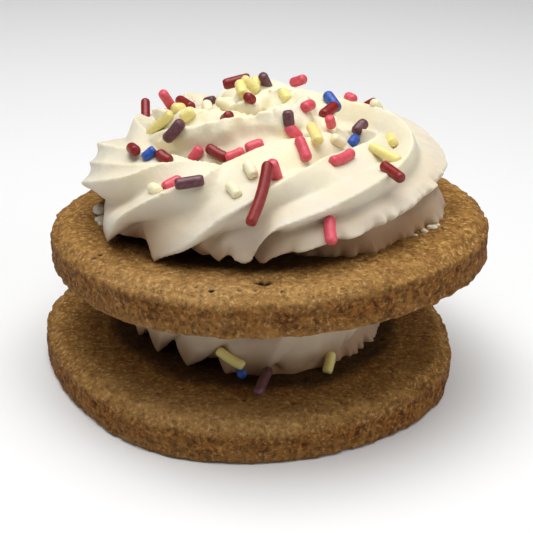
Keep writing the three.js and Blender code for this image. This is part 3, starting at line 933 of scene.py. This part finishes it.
# The far side carries the same kind of sprinkles, spread by chance, in turn of colour.
# The ranges are those of azimuth, elevation, heading and length.
BACK_SEED = 11
BACK_SPRINKLES = {"count": 14, "ranges": [(60, 135), (8, 26), (0, 180), (3, 6.5)]}
BACK_COLOURS = ["pink", "dark_red", "yellow", "purple", "pink", "dark_red", "blue", "white"]
COLOURS = {
    "dark_red": (linear(128, 18, 18), linear(158, 48, 44)),
    "pink": (linear(212, 74, 92), linear(230, 118, 126)),
    "purple": (linear(94, 52, 62), linear(138, 98, 102)),
    "blue": (linear(34, 78, 166), linear(92, 116, 186)),
    "yellow": (linear(236, 222, 138), linear(243, 232, 170)),
    "white": (linear(240, 230, 192), linear(248, 242, 216)),
}


def direction_to(azimuth, elevation):
    return Vector((cos(elevation) * cos(azimuth), cos(elevation) * sin(azimuth), sin(elevation)))


def outermost(surface, direction):
    """The outermost point of the cream in a direction from the middle of its foot."""
    return surface.ray_cast(direction * FAR, -direction)[0]


def highest_under(surface, centre, reach, out):
    """How far the cream stands above a rod's middle line, at the highest of five places."""
    rises = []
    for share in (-1, -0.5, 0, 0.5, 1):
        start = centre + reach * share + out * WELL_ABOVE
        hit = surface.ray_cast(start, -out)[0]
        rises.append((hit - start).dot(out) + WELL_ABOVE)
    return max(rises)


def sprinkle_place(surface, row):
    """The two ends of a sprinkle's middle line, laid on the cream, and the way out of it."""
    azimuth, elevation, heading, length, *others = row
    lean, lift = [*others, 0, 0][:2]
    out = direction_to(azimuth, elevation)
    east = Vector((-sin(azimuth), cos(azimuth), 0))
    north = out.cross(east)
    across = east * cos(heading) + north * sin(heading)
    middle = outermost(surface, out)
    half = length / 2 - SPRINKLE_RADIUS
    tips = [outermost(surface, (middle + across * side * half).normalized()) for side in (-1, 1)]
    along = (tips[1] - tips[0]).normalized()
    along = (along * cos(lean) + out * sin(lean)).normalized()
    if lean:
        centre = middle + out * abs(half * sin(lean))
    else:
        centre = (tips[0] + tips[1]) / 2
        centre += out * highest_under(surface, centre, along * half, out)
    centre += out * (SPRINKLE_RADIUS * SPRINKLE_LIFT + lift)
    return centre - along * half, centre + along * half, out


def sprinkle_skin(start, end, radius, bend, columns=16):
    """A rod with softly squared ends and a slight bend."""
    start, end, bend = (np.array(v) for v in (start, end, bend))
    along = (end - start) / np.linalg.norm(end - start)
    side = np.cross(along, NO_ROD_RUNS)
    side /= np.linalg.norm(side)
    other = np.cross(along, side)
    cap = np.sin(np.linspace(0.12, 1.0, 6) * math.pi / 2)
    stops = [*(cap - 1), *np.linspace(0, 1, 8)[1:-1], *((1 - cap)[::-1] + 1)]
    turn = full_turn(columns)[:, None]
    rings = []
    for stop in stops:
        inside = min(max(stop, 0), 1)
        beyond = max(-stop, stop - 1, 0)
        middle = start + (end - start) * inside + along * radius * (stop - inside)
        middle = middle + bend * (1 - (2 * inside - 1) ** 2)
        width = radius * (1 - beyond**SPRINKLE_SQUARENESS) ** (1 / SPRINKLE_SQUARENESS)
        rings.append(middle + width * (np.cos(turn) * side + np.sin(turn) * other))
    return closed_skin(np.array(rings))


def back_rows(colour):
    """The far side's rows of one colour."""
    drawn = drawn_rows(seeded_draw(BACK_SEED), **BACK_SPRINKLES)
    return [row for row, name in zip(drawn, itertools.cycle(BACK_COLOURS)) if name == colour]


def sprinkle_skins(rows, surface, seed):
    """A skin for each row, each rod a little different in width and bend."""
    draw = seeded_draw(seed)
    skins = []
    for row in rows:
        start, end, out = sprinkle_place(surface, row)
        radius = SPRINKLE_RADIUS * (SPRINKLE_THINNEST + SPRINKLE_SPREAD * next(draw))
        sideways = (end - start).cross(out)
        bend = sideways * SPRINKLE_BEND * (2 * next(draw) - 1)
        skins.append(sprinkle_skin(start, end, radius, bend))
    return skins


def sprinkles(order, colour, swirl_surface, filling_surface):
    """All the rods of one colour, on the swirl, on its far side and on the filling."""
    rows = SWIRL_SPRINKLES[colour] + back_rows(colour)
    skins = sprinkle_skins(rows, swirl_surface, SWIRL_SPRINKLE_SEED + order)
    skins = [moved(skin, UPPER @ ON_BISCUIT) for skin in skins]
    stood_for = ["cream_top"]
    if colour in FILLING_SPRINKLES:
        lower = sprinkle_skins(FILLING_SPRINKLES[colour], filling_surface, FILLING_SPRINKLE_SEED + order)
        skins += [moved(skin, ON_BISCUIT) for skin in lower]
        stood_for.append("cream_filling")
    points, faces = joined(skins)
    slot = "sprinkle_" + colour
    material = sprinkle_material(slot, *COLOURS[colour])
    make_piece("sprinkles_" + colour, points, faces, Matrix.Identity(4), material, stood_for)


# ---- Crumbs ----
# Specks of cream dropped beside the swirl: distance from the middle of the face, azimuth, size.
CRUMB_SPOTS = [
    [30.8, 334, 0.75], [30.3, 330, 0.6], [29.7, 326, 0.45], [31.4, 337, 0.4], [30.6, 181, 1.3],
    [30.0, 183.5, 1.1], [29.6, 191, 1.1], [29.9, 193.5, 0.8],
]
CRUMB_HEIGHT = 0.7  # as a share of its width
CRUMB_RISE = 0.3  # share of its size that its middle stands above the face
CRUMB_SEED = 40


def crumb_skin(middle, size, seed):
    """A small uneven lump."""
    rise = np.linspace(0.05, math.pi - 0.05, 14)[:, None]
    rings = around(np.sin(rise), full_turn(22), -np.cos(rise))
    ball = rings.reshape(-1, 3)
    swell = 1 + 0.4 * bumps(ball, size=1.1, seed=seed) + 0.15 * bumps(ball, size=0.5, seed=seed + 20)
    rings = rings * swell.reshape(*rings.shape[:2], 1) * size * (1, 1, CRUMB_HEIGHT)
    return closed_skin(np.array(middle) + rings)


def cream_crumbs(material):
    """The specks on the upper biscuit's face, each sunk a little into it."""
    skins = []
    for row, (distance, turn, size) in enumerate(CRUMB_SPOTS):
        middle = (distance * cos(turn), distance * sin(turn), BISCUIT_THICKNESS + size * CRUMB_RISE)
        skins.append(crumb_skin(middle, size, CRUMB_SEED + row))
    points, faces = joined(skins)
    make_piece("cream_crumbs", points, faces, UPPER, material, ["cream_top"])


# ---- Stage ----
FLOOR_HALF = 1.5  # metres
FLOOR_COLOUR = linear(236, 236, 236)
WORLD_STRENGTH = 0.11
# name, place in metres, height that it points at, size, power
LIGHTS = [
    ["softbox", (0.0, -0.02, 0.55), 0.03, 0.56, 3.4],
    ["key", (-0.08, 0.02, 0.42), 0.03, 0.20, 0.35],
    ["side_left", (-0.50, -0.20, 0.25), 0.02, 0.40, 0.35],
    ["side_right", (0.50, -0.20, 0.22), 0.02, 0.40, 0.8],
]
CAMERA_PLACE = (2.390, -190.164, 107.347)
CAMERA_DROP = 25.104  # how far the camera looks down
CAMERA_ROLL = 2.0
CAMERA_LENS = 75.87
CAMERA_SENSOR = 36.0
CAMERA_NEAREST = 0.01  # metres


def floor():
    """A plain pale floor."""
    mesh = bpy.data.meshes.new("floor")
    corners = [(x * FLOOR_HALF, y * FLOOR_HALF, 0) for x, y in ((-1, -1), (1, -1), (1, 1), (-1, 1))]
    mesh.from_pydata(corners, [], [(0, 1, 2, 3)])
    material, tree, shader = new_material("floor")
    set_sockets(tree, shader, {"Base Color": FLOOR_COLOUR, "Roughness": 0.9})
    mesh.materials.append(material)
    stand = bpy.data.objects.new("floor", mesh)
    bpy.context.scene.collection.objects.link(stand)


def area_light(name, place, aim_height, size, power):
    light = bpy.data.lights.new(name, "AREA")
    light.size = size
    light.energy = power
    lamp = bpy.data.objects.new(name, light)
    bpy.context.scene.collection.objects.link(lamp)
    lamp.location = place
    aim = Vector((0, 0, aim_height)) - Vector(place)
    lamp.rotation_euler = aim.to_track_quat("-Z", "Y").to_euler()


def world_light(strength):
    world = bpy.data.worlds.new("studio")
    bpy.context.scene.world = world
    world.use_nodes = True
    background = world.node_tree.nodes["Background"]
    background.inputs["Color"].default_value = (1, 1, 1, 1)
    background.inputs["Strength"].default_value = strength


def camera():
    """The camera, placed as the photo's was."""
    drop, roll = CAMERA_DROP, CAMERA_ROLL
    forward = Vector((0, cos(drop), -sin(drop)))
    right = Vector((cos(roll), sin(roll) * sin(drop), sin(roll) * cos(drop)))
    up = Vector((-sin(roll), cos(roll) * sin(drop), cos(roll) * cos(drop)))
    place = Matrix((right, up, -forward)).transposed().to_4x4()
    place.translation = Vector(CAMERA_PLACE) * MM
    lens = bpy.data.cameras.new("camera")
    lens.sensor_width = CAMERA_SENSOR
    lens.lens = CAMERA_LENS
    lens.clip_start = CAMERA_NEAREST
    eye = bpy.data.objects.new("camera", lens)
    eye.matrix_world = place
    bpy.context.scene.collection.objects.link(eye)
    bpy.context.scene.camera = eye


# ---- The sandwich ----
bpy.context.scene.view_settings.view_transform = "Standard"
camera()
floor()
for light_row in LIGHTS:
    area_light(*light_row)
world_light(WORLD_STRENGTH)

crust = biscuit_material()
biscuit("biscuit_bottom", "cookie_bottom", LOWER_BISCUIT, LOWER, crust)
biscuit("biscuit_top", "cookie_top", UPPER_BISCUIT, UPPER, crust)

cream = cream_material()
swirl_skins = [rope_skin(SWIRL), dome_skin(**SWIRL_CORE), foot_skin(SWIRL_FOOT, SWIRL_RAGGED)]
swirl = cream_surface(swirl_skins, SWIRL_SEED)
filling_skins = [rope_skin(FILLING), drum_skin(**FILLING_CORE), foot_skin(FILLING_FOOT, FILLING_RAGGED)]
filling = cream_surface(filling_skins, FILLING_SEED)
layers = cream_layers(swirl[0], SWIRL_CREST, least_groove_shade=0)
swirl_surface = cream_body("piped_swirl", "cream_top", swirl, UPPER @ ON_BISCUIT, cream, layers)
layers = cream_layers(filling[0], FILLING_CREST, FILLING_LEAST_SHADE)
filling_surface = cream_body("piped_filling", "cream_filling", filling, ON_BISCUIT, cream, layers)
cream_crumbs(cream)
for order, colour in enumerate(COLOURS):
    sprinkles(order, colour, swirl_surface, filling_surface)
